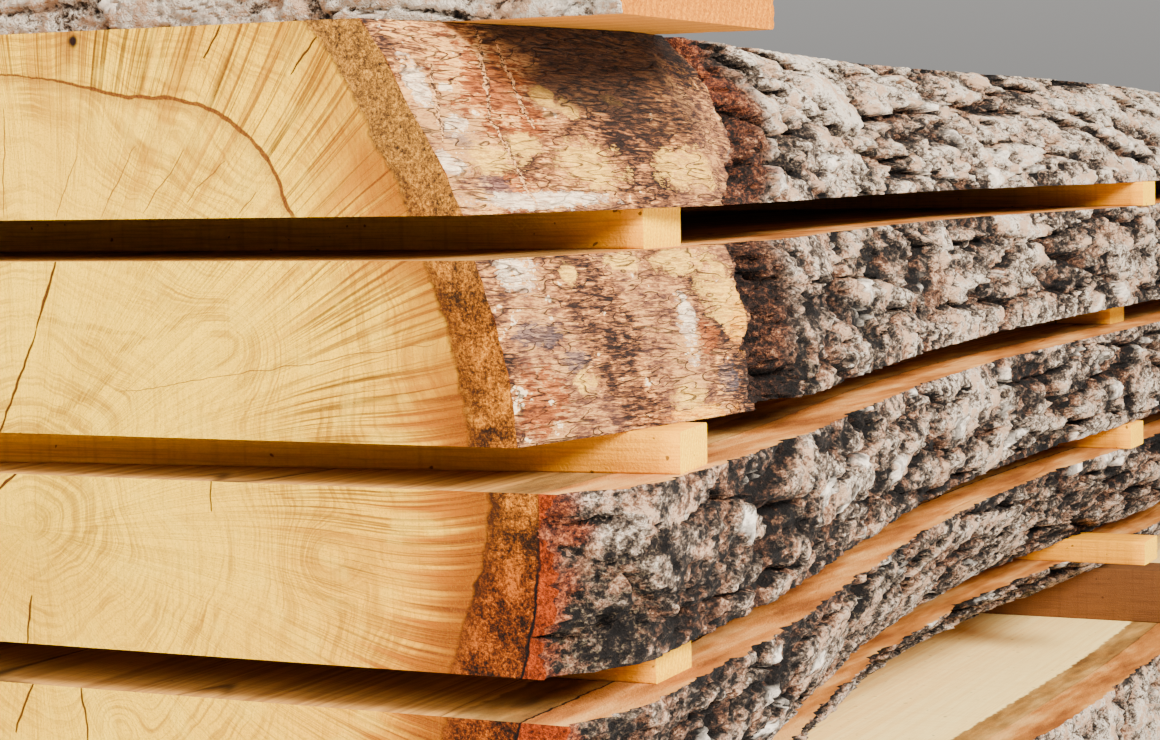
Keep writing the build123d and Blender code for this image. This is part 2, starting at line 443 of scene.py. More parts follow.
def plug(tree, entry, value):
    """Links a Flow to a node's input, or sets it; three numbers are a colour as it is seen."""
    if isinstance(value, Flow):
        tree.links.new(value.socket, entry)
    elif isinstance(value, tuple) and len(value) == 3:
        entry.default_value = paint(*value)
    else:
        entry.default_value = value


class Nodes:
    """A node tree that is being filled."""

    def __init__(self, tree):
        self.tree = tree

    def node(self, kind, settings=None, links=None, output=0):
        """Adds a node: first its settings, a ramp's stops and a curve's points among them, then its
        inputs by name or number."""
        node = self.tree.nodes.new("ShaderNode" + kind)
        for name, value in (settings or {}).items():
            if name == "stops":
                elements = node.color_ramp.elements
                elements.remove(elements[1])
                for index, (place, *seen) in enumerate(value):
                    element = elements[0] if index == 0 else elements.new(place)
                    element.position = place
                    element.color = paint(*seen)
            elif name == "points":
                line = node.mapping.curves[0].points
                line[0].location, line[1].location = value[0], value[-1]
                for point in value[1:-1]:
                    line.new(*point)
                node.mapping.update()
            else:
                setattr(node, name, value)
        for name, value in (links or {}).items():
            plug(self.tree, node.inputs[name], value)
        return Flow(self.tree, node.outputs[output])

    def read(self, name, output="Fac"):
        """An attribute of the mesh."""
        return self.node("Attribute", {"attribute_name": name}, output=output)

    def parts(self, vector):
        """The x, y and z of a vector."""
        node = self.tree.nodes.new("ShaderNodeSeparateXYZ")
        plug(self.tree, node.inputs[0], vector)
        return [Flow(self.tree, socket) for socket in node.outputs]

    def vector(self, x, y, z):
        return self.node("CombineXYZ", links={0: x, 1: y, 2: z})

    def noise(self, vector, scale, detail=1.0, roughness=0.5, twist=0.0):
        links = {"Vector": vector, "Scale": scale, "Detail": detail, "Roughness": roughness}
        return self.node("TexNoise", links={**links, "Distortion": twist})

    def grain(self, x, y, z, detail=1.0, roughness=0.5, twist=0.0):
        """Noise over a place whose x, y and z are scaled apart, so that it is drawn out one way."""
        return self.noise(self.vector(x, y, z), 1.0, detail, roughness, twist)

    def mix(self, share, low, high):
        """The colour low where share is 0 and high where it is 1."""
        return self.node("Mix", {"data_type": "RGBA"}, {0: share, 6: low, 7: high}, 2)

    def coats(self, colour, *coats):
        """A colour with others laid over it in turn, each of them by its share."""
        for share, coat in coats:
            colour = self.mix(share, colour, coat)
        return colour

    def ramp(self, value, shades):
        """The colour at a value between the shades of that name."""
        return self.node("ValToRGB", {"stops": SHADES[shades]}, {"Fac": value})

    def relief(self, height, strength, distance):
        """A normal that is tilted by a height."""
        return self.node("Bump", links={"Height": height, "Strength": strength, "Distance": distance})


class Finish(Nodes):
    """A material under construction."""

    def __init__(self, name):
        self.material = bpy.data.materials.new(name)
        self.material.use_nodes = True
        super().__init__(self.material.node_tree)

    def done(self, colour, roughness, normal, specular):
        """The finished material."""
        inputs = self.tree.nodes["Principled BSDF"].inputs
        for name, value in (("Base Color", colour), ("Roughness", roughness), ("Normal", normal)):
            plug(self.tree, inputs[name], value)
        inputs["Specular IOR Level"].default_value = specular
        return self.material


MATERIALS = {}


def material(maker, name, *values):
    """A material, made the first time that it is asked for."""
    if name not in MATERIALS:
        MATERIALS[name] = maker(name, *values)
    return MATERIALS[name]


def log_reading(finish):
    """What the sawn faces share: place in the log, distance from the pith, depth under the bark."""
    place = finish.read("log_place", "Vector")
    x, y, z = finish.parts(place)
    radius = (x * x + z * z) ** 0.5
    return place, x, y, z, radius, finish.read("trunk") - radius


def hairlines(field, width):
    """Thin lines where a noise passes through its middle value."""
    return 1.0 - (field - 0.5).maths("ABSOLUTE").step(0.0, width)


def distance(x, z, to_x, to_z):
    """How far a place is from a point given in mm."""
    return ((x - to_x * MM) ** 2.0 + (z - to_z * MM) ** 2.0) ** 0.5


def splits(x, z, places):
    """Straight splits: 1 where the distance from the line is under a width that lessens to its tips."""
    total = 0.0
    for start_x, start_z, end_x, end_z, width in places:
        run_x, run_z = (end_x - start_x) * MM, (end_z - start_z) * MM
        length = math.hypot(run_x, run_z)
        away_x, away_z = x - start_x * MM, z - start_z * MM
        along = (away_x * run_x + away_z * run_z) * (1 / length ** 2)
        off = (away_z * run_x - away_x * run_z) * (1 / length)
        room = (along * (1.0 - along)).maths("MAXIMUM", 0.0) ** 0.35 * (1.7 * width * MM)
        inside = (off.maths("ABSOLUTE") - room).step(0.35 * MM, -0.15 * MM)
        total = inside * along.step(-0.01, 0.02) * along.step(1.01, 0.98) + total
    return total


def phloem_inside(z):
    """Depth where the inner bark meets the wood: it grows from slab 2 down to slab 3."""
    return z.step(0.028, -0.053) * (PHLOEM_INSIDE_LOW - PHLOEM_INSIDE) + PHLOEM_INSIDE


def bark_rings(finish, wood, place, z, depth, dust_and_painted_light=0.0):
    """Lays the inner bark and the outer bark over the wood's colour, by depth under the surface.

    Both are granular. The inner bark is tan in the top slab, amber below it and rust brown from the
    third slab down. Dust and painted light is the share of paler, streaked colours on the faces sawn
    along the log: partly dust and partly painted light, as if sun fell on faces that lie in shade.
    Returns the colour, and the height of the grains where there is bark."""
    ragged = finish.noise(place, 90.0, 3.0, 0.6)
    fleck = finish.noise(place, 640.0, 2.0, 0.9)
    grain = finish.noise(place, 210.0, 2.0, 0.8)
    stain = finish.noise(place, 38.0, 2.0, 0.6)
    low_slabs = z.step(0.045, -0.02)
    inner_edge = phloem_inside(z) + z.step(0.14, 0.17) * (PHLOEM_INSIDE_HIGH - PHLOEM_INSIDE)
    past_edge = depth - inner_edge - (ragged - 0.5) * 0.009
    inner = past_edge.step(0.0012, -0.0012)
    outer = depth.step(PHLOEM_OUTSIDE + 0.0005, PHLOEM_OUTSIDE - 0.0008)
    level = (fleck - 0.5) * 1.7 + (grain - 0.5) * 1.3 + 0.5
    spots = level + (stain - 0.5) * 1.8
    near_wood = past_edge.step(-0.01, 0.0) * z.step(0.18, 0.1)
    inner_colour = finish.coats(
        finish.ramp(level, "tan"),
        (z.step(0.15, 0.085), finish.ramp(spots, "amber")),
        (low_slabs, finish.ramp(spots, "rust")),
        (near_wood * (0.35 + stain * 0.5), (66, 30, 6)),
    )
    outer_colour = finish.ramp(level * 0.7 + stain * 0.5 - 0.1, "orange")
    # Painted light: the paler, dusty colours on the sawn faces are partly dust and partly painted light for
    # sun on faces that lie in shade
    if dust_and_painted_light:
        x, y, _ = finish.parts(place)
        worn = finish.grain(x * 40.0, y * 7.0, 0.0, 3.0, 0.65)
        inner_colour = finish.mix(dust_and_painted_light, inner_colour, finish.ramp(worn, "dusty tan with painted light"))
        outer_colour = finish.mix(dust_and_painted_light, outer_colour, finish.ramp(worn, "dusty orange with painted light"))
    parting = (depth - PHLOEM_OUTSIDE + (ragged - 0.5) * 0.005).maths("ABSOLUTE").step(0.0012, 0.0003)
    coats = (inner, inner_colour), (outer, outer_colour), (parting * low_slabs, (16, 8, 5))
    return finish.coats(wood, *coats), level * (inner + outer)


def end_grain(name):
    """Cross-cut wood: rays fanning from the pith, rings that swirl round knots, a ring shake, checks,
    and amber that has bled in from the inner bark."""
    finish = Finish(name)
    place, x, y, z, radius, depth = log_reading(finish)
    butt = y.step(0.02, 0.01)
    flat = finish.vector(x, 0.0, z)
    big = finish.noise(flat, 9.0)
    sway = finish.noise(flat, 42.0, 2.0, 0.6)
    sway_up = finish.noise(finish.vector(z, 3.0, x), 42.0, 2.0, 0.6)
    fine = finish.noise(flat, 900.0, 2.0, 0.9)
    loose_x = x + (sway - 0.5) * 0.007
    loose_z = z + (sway_up - 0.5) * 0.007

    # Rays: noise wound round the pith and drawn out along the radius
    turn_x, turn_z = x / radius, z / radius
    bend = (finish.noise(flat, 7.0, 0.0) - 0.5) * 0.16 + (sway - 0.5) * 0.004
    wind_x, wind_z = turn_x - turn_z * bend, turn_z + turn_x * bend
    broad = finish.grain(wind_x * 26.0, radius * 2.0, wind_z * 26.0, 3.0, 0.6)
    ray = finish.grain(wind_x * 52.0, radius * 3.0, wind_z * 52.0)
    thin = finish.grain(wind_x * 140.0, radius * 6.0, wind_z * 140.0, 2.0, 0.7)
    strong = finish.grain(wind_x * 44.0, radius * 12.0, wind_z * 44.0)
    outside = (radius + (big - 0.5) * 0.1).step(0.12, 0.19) * (1.0 - z.step(0.01, -0.015) * 0.5)
    rays = hairlines(ray, 0.055) * strong.step(0.4, 0.6)
    threads = thin.step(0.5, 0.64)

    # Rings: lines of equal distance from the pith, pushed out round the knots
    reach = radius + (big - 0.5) * 0.07 + (sway - 0.5) * 0.01
    for knot_x, knot_z, size, push in KNOTS:
        reach = reach + distance(x, z, knot_x, knot_z).step(size * MM, 0.0) * (push * MM)
    ring = finish.grain(reach * 130.0, x * 5.0, z * 5.0, 2.0, 0.6)
    ring_fine = finish.grain(reach * 420.0, x * 9.0, z * 9.0, 2.0, 0.7)
    show = finish.noise(finish.vector(z, x, 1.0), 17.0, 2.0).step(0.42, 0.58)
    rings = hairlines(ring, 0.055) * show
    rings_fine = ring_fine.step(0.48, 0.62) * (0.5 + show * 0.5)
    saw = finish.grain(x * 620.0, 0.0, z * 16.0)

    # The ring shake in the top slab: a crack with a smear inside it, and paler wood within
    turn = z.maths("ARCTAN2", x) * (1 / math.pi)
    shake_at = finish.node("FloatCurve", {"points": SHAKE}, {"Value": turn}) * SHAKE_BAND + SHAKE_FROM
    shake_at = shake_at + (sway - 0.5) * 0.003 + (finish.noise(flat, 160.0, 2.0) - 0.5) * 0.0024
    upper = z.step(0.112, 0.118) * x.step(-0.09, -0.05) * butt
    within = shake_at - radius
    half_width = x.step(0.0, 0.07) * 0.0006 * (0.5 + sway_up)
    shake = (within.maths("ABSOLUTE") - half_width).step(0.0008, 0.0001) * upper
    smear = within.step(-0.0015, 0.0) * within.step(0.0085, 0.001) * upper
    heart = within.step(-0.001, 0.001) * upper

    # Cracks, checks, streaks and the pin knot
    cracks = (splits(loose_x, loose_z, CRACKS) * butt).maths("MINIMUM", 1.0)
    checks = (splits(loose_x, loose_z, CHECKS) * butt).maths("MINIMUM", 1.0)
    streaks = splits(loose_x, loose_z, STREAKS) * butt * (0.3 + threads * 0.7)
    knot_away = distance(loose_x, loose_z, *PIN_KNOT)
    knot = knot_away.step(0.0042, 0.0015) * butt
    knot_smear = knot_away.step(0.016, 0.002) * butt

    # Amber that has bled in from the bark, up to 46 mm: strong at slab 1's foot and under slab 2's top
    low_down = z.step(0.2, 0.12) * 0.85 + z.step(0.11, 0.03) * 0.35
    low_down = low_down - z.step(0.113, 0.075) * 0.55 + z.step(0.075, 0.03) * 0.55
    inside = depth - phloem_inside(z)
    bleed = (inside + (ray - 0.5) * 0.09).step(0.046, 0.0) * low_down.maths("MAXIMUM", 0.3)
    plain = 1.0 - heart * 0.7
    wood = finish.coats(
        finish.mix(radius.step(0.09, 0.24), (248, 198, 34), (238, 168, 6)),
        (big.step(0.42, 0.62) * 0.35, (206, 144, 8)),
        (z.step(-0.02, 0.1) * 0.65, (254, 206, 34)),
        (heart * 0.7, (246, 194, 40)),
        (rings * 0.5, (140, 90, 18)),
        (rings_fine * 0.48, (166, 112, 14)),
        (broad.step(0.47, 0.64) * (outside * 0.5 + 0.1), (172, 108, 4)),
        (threads * (outside * 0.62 + 0.12) * plain, (120, 74, 10)),
        (rays * (outside * 0.72 + 0.08) * plain, (82, 46, 10)),
        ((sway_up + fine * 0.3).step(0.66, 0.8) * 0.35, (247, 206, 60)),
        (bleed * 0.92, (162, 88, 0)),
        (bleed * inside.step(0.026, 0.003) * 0.75, (122, 60, 0)),
        (bleed * (rays + threads * 0.5), (104, 48, 10)),
        (streaks.maths("MINIMUM", 1.0) * 0.55, (124, 74, 16)),
        (smear * (0.25 + fine * 0.5), (134, 88, 34)),
        (shake * 0.95, (88, 40, 16)),
        (knot_smear * 0.55, (120, 68, 28)),
        (saw.step(0.5, 0.8) * 0.28, (146, 94, 12)),
        (fine.step(0.46, 0.66) * 0.42, (150, 96, 12)),
        (checks * 0.95, (104, 58, 20)),
    )
    colour, grit = bark_rings(finish, wood, place, z, depth)
    colour = finish.coats(colour, (cracks * 0.97, (70, 28, 10)), (knot, (30, 14, 8)))
    height = fine * 0.8 - threads * 0.5 - saw * 0.4 - cracks * 4.0 + grit * 1.4
    return finish.done(colour, 0.8, finish.relief(height, 0.7, 0.0008), 0.08)


def face_grain(name, pale, middle, deep, cracked=0.8):
    """Wood sawn along the log: rings cut lengthwise as long lines, saw marks across."""
    finish = Finish(name)
    place, x, y, z, radius, depth = log_reading(finish)
    big = finish.noise(finish.vector(x * 14.0, y * 1.1, z * 14.0), 0.7, 2.0)
    wavy = radius + (big - 0.5) * 0.03
    rings = finish.grain(wavy * 170.0, y * 0.9, 0.0, 2.0, 0.6)
    fibre = finish.grain(x * 700.0, y * 14.0, z * 700.0, 2.0, 0.6)
    marks = finish.grain(x * 3.0, y * 260.0, z * 3.0, 2.0)
    speck = finish.noise(place, 150.0)
    crack = hairlines(finish.grain(x * 9.0, y * 1.2, 0.0), 0.006)
    wood = finish.coats(
        finish.mix(rings.step(0.4, 0.62), pale, middle),
        (fibre.step(0.42, 0.7) * 0.4, deep),
        (marks.step(0.48, 0.75) * 0.22, deep),
        (big.step(0.45, 0.7) * 0.35, pale),
        (speck.step(0.72, 0.78) * 0.5, (60, 34, 16)),
        (crack * big.step(0.5, 0.6) * cracked, (50, 26, 10)),
    )
    colour, grit = bark_rings(finish, wood, place, z, depth, 0.8)
    height = fibre * 0.5 + marks * 0.6 + rings * 0.2 + grit * 1.2 - crack * (2.0 * cracked)
    return finish.done(colour, 0.8, finish.relief(height, 0.5, 0.0007), 0.1)


def scraped(scrapes, along, up, ragged):
    """Where marks lie on the stripped side: ellipses whose edges a noise makes ragged."""
    total = 0.0
    for at, height, reach, reach_up in scrapes:
        away = ((along - at * MM) * (1 / (reach * MM))) ** 2.0
        away_up = ((up - height * MM) * (1 / (reach_up * MM))) ** 2.0
        total = (away + away_up + ragged).step(1.0, 0.7) + total
    return total.maths("MINIMUM", 1.0)


def bark_skin(name, light, scrapes=None, seams=(), pitch=1.0):
    """Furrowed bark: dark in the furrows, partly its own colour and partly painted shade, grey on the plates,
    silver flakes, rust where it has broken.

    A pitch above 1 makes its patches smaller, for a younger log."""
    finish = Finish(name)
    place = finish.node("TexCoord", output="Object")
    tone, flake, torn, rusty = (finish.read(mark) for mark in ("tone", "flake", "torn", "rust"))
    x, y, z = finish.parts(place)
    drawn_out = finish.vector(x, y * 0.6, z)
    grain = finish.noise(drawn_out, 560.0, 3.0, 0.75)
    crumb = finish.noise(drawn_out, 190.0 * pitch, 3.0, 0.7)
    patch = finish.noise(place, 42.0 * pitch, 2.0, 0.65)
    wide = finish.noise(place, 7.0)
    # The tone read here is darker in the furrows and pits: partly their own colour, partly painted shade
    level = tone + (grain - 0.5) * 1.5 + (crumb - 0.5) * 2.0 + (patch - 0.5) * 1.6 + light
    # Painted light: the bark is made lighter higher up the stack, where its sides face up to the light from
    # above
    level = level + z.step(0.2, 0.34) * 0.1 + z.step(0.34, 0.48) * 0.12
    silver = finish.mix((crumb * 0.5 + patch * 0.5).step(0.42, 0.58), (132, 124, 114), (206, 196, 182))
    moss = wide.step(0.54, 0.66) * grain.step(0.52, 0.64) * level.step(0.4, 0.7)
    crust = grain * 0.6 + crumb * 0.4
    worn = (level + rusty * 1.2 - 0.9).step(0.0, 0.25) * rusty
    colour = finish.coats(
        finish.ramp(level * 1.08 - 0.2, "grey bark"),
        ((patch * 0.6 + crumb * 0.4).step(0.49, 0.57) * 0.75, finish.ramp(level * 0.8, "brown bark")),
        (flake * 0.85, silver),
        (moss * 0.3, (104, 94, 60)),
        (torn, finish.ramp(crust + (tone - 0.5) * 0.2, "torn bark")),
        (worn, finish.ramp(crust, "rusty bark")),
    )
    height = (grain * 1.4 + crumb * 2.0) * (1.0 - flake * 0.85) * (1.0 + torn * 0.5)
    if scrapes:
        bare = finish.read("bare")
        skin, smooth_height = stripped_skin(finish, place, grain, crumb, scrapes, seams)
        colour = finish.mix(bare, colour, skin)
        height = height * (1.0 - bare) + smooth_height * bare
    return finish.done(colour, 0.85, finish.relief(height, 0.95, 0.0022), 0.15)


def stripped_skin(finish, place, grain, crumb, scrapes, seams):
    """The inner bark's outside: fine fibres along the trunk, brown to tan, with scraped and stained marks."""
    x, y, z = finish.parts(place)
    along = y - BUTT_Y
    strand = finish.grain(x * 90.0, y * 90.0, z * 760.0 + y * 40.0, 3.0, 0.8, 0.5)
    nick = hairlines(finish.grain(x * 34.0, y * 34.0, z * 190.0, 1.0, 0.6, 0.8), 0.03)
    blotch = finish.noise(finish.vector(x, y * 0.7, z), 70.0, 3.0, 0.75)
    cloud = finish.noise(place, 16.0)
    level = (strand - 0.5) * 3.4 + (blotch - 0.5) * 2.2 + (cloud - 0.5) * 1.6 + 0.5
    level = level + along.step(0.12, 0.02) * z.step(0.49, 0.5) * 0.3
    skin = finish.mix(cloud.step(0.5, 0.6) * 0.35, finish.ramp(level, "stripped"), (88, 58, 50))
    ragged = (blotch - 0.5) * 4.5 + (strand - 0.5) * 5.0 + (crumb - 0.5) * 3.0
    fibre = strand.step(0.36, 0.58)
    for kind, (share, dark, light) in MARKS.items():
        if kind in scrapes:
            mark = scraped(scrapes[kind], along, z, ragged)
            skin = finish.mix(mark * share, skin, finish.mix(fibre, dark, light))
    white = (blotch * 0.7 + crumb * 0.3 + along.step(0.07, 0.0) * 0.04).step(0.632, 0.648)
    stain_and_board_shadow = finish.mix(strand.step(0.38, 0.64), (16, 9, 5), (70, 43, 25))
    skin = finish.coats(
        skin,
        (white * 0.75, (228, 204, 164)),
        # A dark patch on slab 1: partly a real stain and partly painted shadow of the top board
        (finish.read("stain") * 0.95, stain_and_board_shadow),
        (nick * blotch.step(0.38, 0.56) * 0.88, (26, 14, 10)),
    )
    height = strand + crumb * 0.8 - nick * 0.8
    if seams:
        seam = splits(along + (crumb - 0.5) * 0.012, z + (crumb - 0.5) * 0.004, seams)
        stitches = finish.mix(grain.step(0.44, 0.54), (34, 15, 9), (214, 156, 98))
        skin = finish.mix(seam.maths("MINIMUM", 0.9), skin, stitches)
        height = height + seam * 0.6
    return skin, height


def soft_wood(name, pale, deep, line, ring_pitch=420.0, fuzzy=0.5):
    """Rough-sawn softwood: straight growth lines along the piece's own length, specks and fuzz."""
    finish = Finish(name)
    place = finish.read("own_place", "Vector")
    x, y, z = finish.parts(place)
    sway = finish.grain(x * 40.0, y * 3.0, z * 40.0, 2.0)
    lines = ((x + z * 0.3 + (sway - 0.5) * 0.01) * ring_pitch).maths("SINE") * 0.5 + 0.5
    fibre = finish.grain(x * 800.0, y * 22.0, z * 800.0, 3.0, 0.65)
    fuzz = finish.noise(place, 760.0, 2.0, 0.7)
    marks = finish.grain(x * 8.0, y * 240.0, z * 8.0)
    colour = finish.coats(
        finish.mix(lines * 0.45, pale, deep),
        (fibre.step(0.42, 0.7) * 0.45, line),
        (fuzz.step(0.4, 0.66) * fuzzy, deep),
        (marks.step(0.5, 0.75) * 0.2, line),
        (finish.noise(place, 170.0).step(0.73, 0.77) * 0.8, (60, 32, 14)),
    )
    height = fibre * 0.6 + fuzz * (0.5 + fuzzy) + lines * 0.35 + marks * 0.3
    return finish.done(colour, 0.78, finish.relief(height, 0.6, 0.001), 0.1)


def new_piece(name, points, faces, materials, kinds, smooth_kind, attributes):
    """Makes a mesh object at the origin from arrays; a face's kind is its material's number."""
    mesh = bpy.data.meshes.new(name)
    mesh.from_pydata(points.tolist(), [], faces)
    for look in materials:
        mesh.materials.append(look)
    mesh.polygons.foreach_set("material_index", kinds.astype(np.int32))
    mesh.polygons.foreach_set("use_smooth", kinds == smooth_kind)
    for label, values in attributes.items():
        kind, field = ("FLOAT_VECTOR", "vector") if values.ndim == 2 else ("FLOAT", "value")
        data = mesh.attributes.new(label, kind, "POINT").data
        data.foreach_set(field, values.astype(np.float32).ravel())
    mesh.update()
    piece = bpy.data.objects.new(name, mesh)
    bpy.context.scene.collection.objects.link(piece)
    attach(piece, "root")
    return piece


def grid_faces(numbers):
    """The quads between neighbouring points of a grid of point numbers."""
    corners = numbers[:-1, :-1], numbers[:-1, 1:], numbers[1:, 1:], numbers[1:, :-1]
    return np.stack(corners, axis=-1).reshape(-1, 4)


def spread(count, near_gap, far_gap, length):
    """Places from 0 to length whose spacing grows smoothly from near_gap to far_gap."""
    share = np.linspace(0, 1, count)
    gap = near_gap + (far_gap - near_gap) * step(0.0, 1.0, share * 1.25)
    place = np.concatenate([[0.0], np.cumsum((gap[1:] + gap[:-1]) / 2)])
    return place / place[-1] * length


def closed_slab(stations, heights, halves, marks):
    """The closed surface of a slab sawn from a log, over its width, its length and its height.

    At each station the surface is a loop: the lower face, the right edge, the upper face and the
    left edge, whose half widths are given over rows of heights and stations. The two ends are grids
    between the edges. The marks are values over the edges, and are 0 on the sawn faces. Returns the
    points' across, along and up, the faces, each face's kind (0 a sawn end, 1 a sawn face, 2 an edge)
    and the marks of all points."""
    right, left = halves[1], halves[-1]
    rows, count, inner = len(heights), len(stations), len(FACE_SHARES)
    shares = FACE_SHARES[:, None]
    low = -left[0] + (right[0] + left[0]) * shares
    high = -left[-1] + (right[-1] + left[-1]) * shares[::-1]
    across = np.concatenate([low, right, high, -left[::-1]])
    row_up = np.concatenate([np.full(inner, heights[0]), heights, np.full(inner, heights[-1]), heights[::-1]])
    along, up = np.meshgrid(stations, row_up)
    numbers = np.arange(across.size).reshape(across.shape)
    faces = [grid_faces(np.vstack([numbers, numbers[:1]]))]
    kind = np.full(len(across), 1)
    kind[inner:inner + rows - 1] = 2
    kind[2 * inner + rows:-1] = 2
    kinds = [np.repeat(kind, count - 1)]
    right_rows = inner + np.arange(rows)
    left_rows = 2 * inner + rows + np.arange(rows)[::-1]
    points = [across.ravel(), along.ravel(), up.ravel()]
    for station in (0, count - 1):
        ends = np.zeros((rows, inner + 2), dtype=np.int64)
        ends[:, 0] = numbers[left_rows, station]
        ends[:, -1] = numbers[right_rows, station]
        ends[0, 1:-1] = numbers[:inner, station]
        ends[-1, 1:-1] = numbers[2 * inner + rows - 1:inner + rows - 1:-1, station]
        from_left = across[left_rows[1:-1], station, None]
        from_right = across[right_rows[1:-1], station, None]
        inside = from_left + (from_right - from_left) * FACE_SHARES
        ends[1:-1, 1:-1] = len(points[0]) + np.arange(inside.size).reshape(inside.shape)
        more = inside.ravel(), np.full(inside.size, stations[station]), np.repeat(heights[1:-1], inner)
        points = [np.concatenate(pair) for pair in zip(points, more)]
        quads = grid_faces(ends)
        faces.append(quads[:, ::-1] if station else quads)
        kinds.append(np.zeros(len(quads), dtype=np.int64))
    attributes = {}
    for label in marks[1]:
        values = np.zeros(across.shape)
        values[right_rows] = marks[1][label]
        values[left_rows] = marks[-1][label]
        attributes[label] = np.append(values.ravel(), np.zeros(len(points[0]) - values.size))
    return points, np.concatenate(faces).tolist(), np.concatenate(kinds), attributes


def edge_rows(count, low, high):
    """Heights from low to high, closer together near the two sawn corners."""
    share = np.linspace(0, 1, count)
    share = share - 0.06 * np.sin(2 * math.pi * share)
    return low + (high - low) * share


def stripped_depth(name, along, rise):
    """Depth of the stripped side under the bark's outside; it lessens evenly towards the torn edge."""
    share = np.maximum(0, 1 - along / BARE_RISE_LENGTH)
    low, high = BARE_DEPTHS[name]
    at_butt = low + (high - low) * step(160 * MM, 205 * MM, rise)
    return BARE_DEPTH_AT_EDGE + (at_butt - BARE_DEPTH_AT_EDGE) * share


def torn_edge(name, along, height, share, half, core):
    """The side where bark has come off: bare up to a ragged edge, then a trench and broken bark.

    The distance past the edge, in mm, is shifted block by block, so that the break runs in chunks.
    Behind it the bark's inner layers crumble: they lie lower than the bark by noise and by whole
    chunks. On slab 2 a hollow opens behind the edge."""
    chunk = cells(along / 0.017, height / 0.011, 87)[2] - 0.5
    block = cells(along / 0.034, height / 0.021, 89)[2] - 0.5
    edge = np.interp(share, *BARE_EDGES[name]) + 5 * rough(height / 0.02, along * 0, 81)
    past = along / MM - edge + 7 * chunk + 7 * block
    bare = 1 - step(-2, 1, past)
    crumbs = rough(along / 0.009, height / 0.006, 95)
    wave = rough(along / 0.05, height / 0.02, 91) + 0.3 * rough(along / 0.012, height / 0.003, 93)
    torn = step(-3, 1, past) * (1 - step(60, 96, past + 16 * crumbs))
    trench = 9 * step(-1, 3, past) * (1 - step(7, 24, past))
    if name == "slab_1":
        glow = step(0.42, 0.66, share + 0.18 * crumbs) * (1 - step(30, 64, past + 10 * crumbs))
        rust = np.maximum(0.22 * torn, 0.75 * torn * glow)
        blot = 0.45 * rough(along / 0.05, height / 0.025, 99)
        # Two dark patches high on the stripped side near the butt: partly a real stain and partly painted
        # shadow of the top board
        high = ((along - 0.155) / 0.105) ** 2 + ((1 - share) / 0.5) ** 2
        low = ((along - 0.185) / 0.062) ** 2 + ((0.6 - share) / 0.24) ** 2
        stain = np.maximum(1 - step(0.45, 1.25, high + blot), 0.65 * (1 - step(0.35, 1.2, low + blot)))
    else:
        rust, stain = 0.1 * torn, np.zeros_like(share)
        trench = trench + 9 * step(0, 12, past) * (1 - step(34, 66, past + 12 * crumbs))
    smooth = core + np.minimum(wave, 1.5) * MM
    broken = half - (torn * (4.5 - 2.6 * crumbs - 7 * chunk) + trench) * MM
    return smooth + (broken - smooth) * step(-1, 3, past), bare, torn, rust, stain


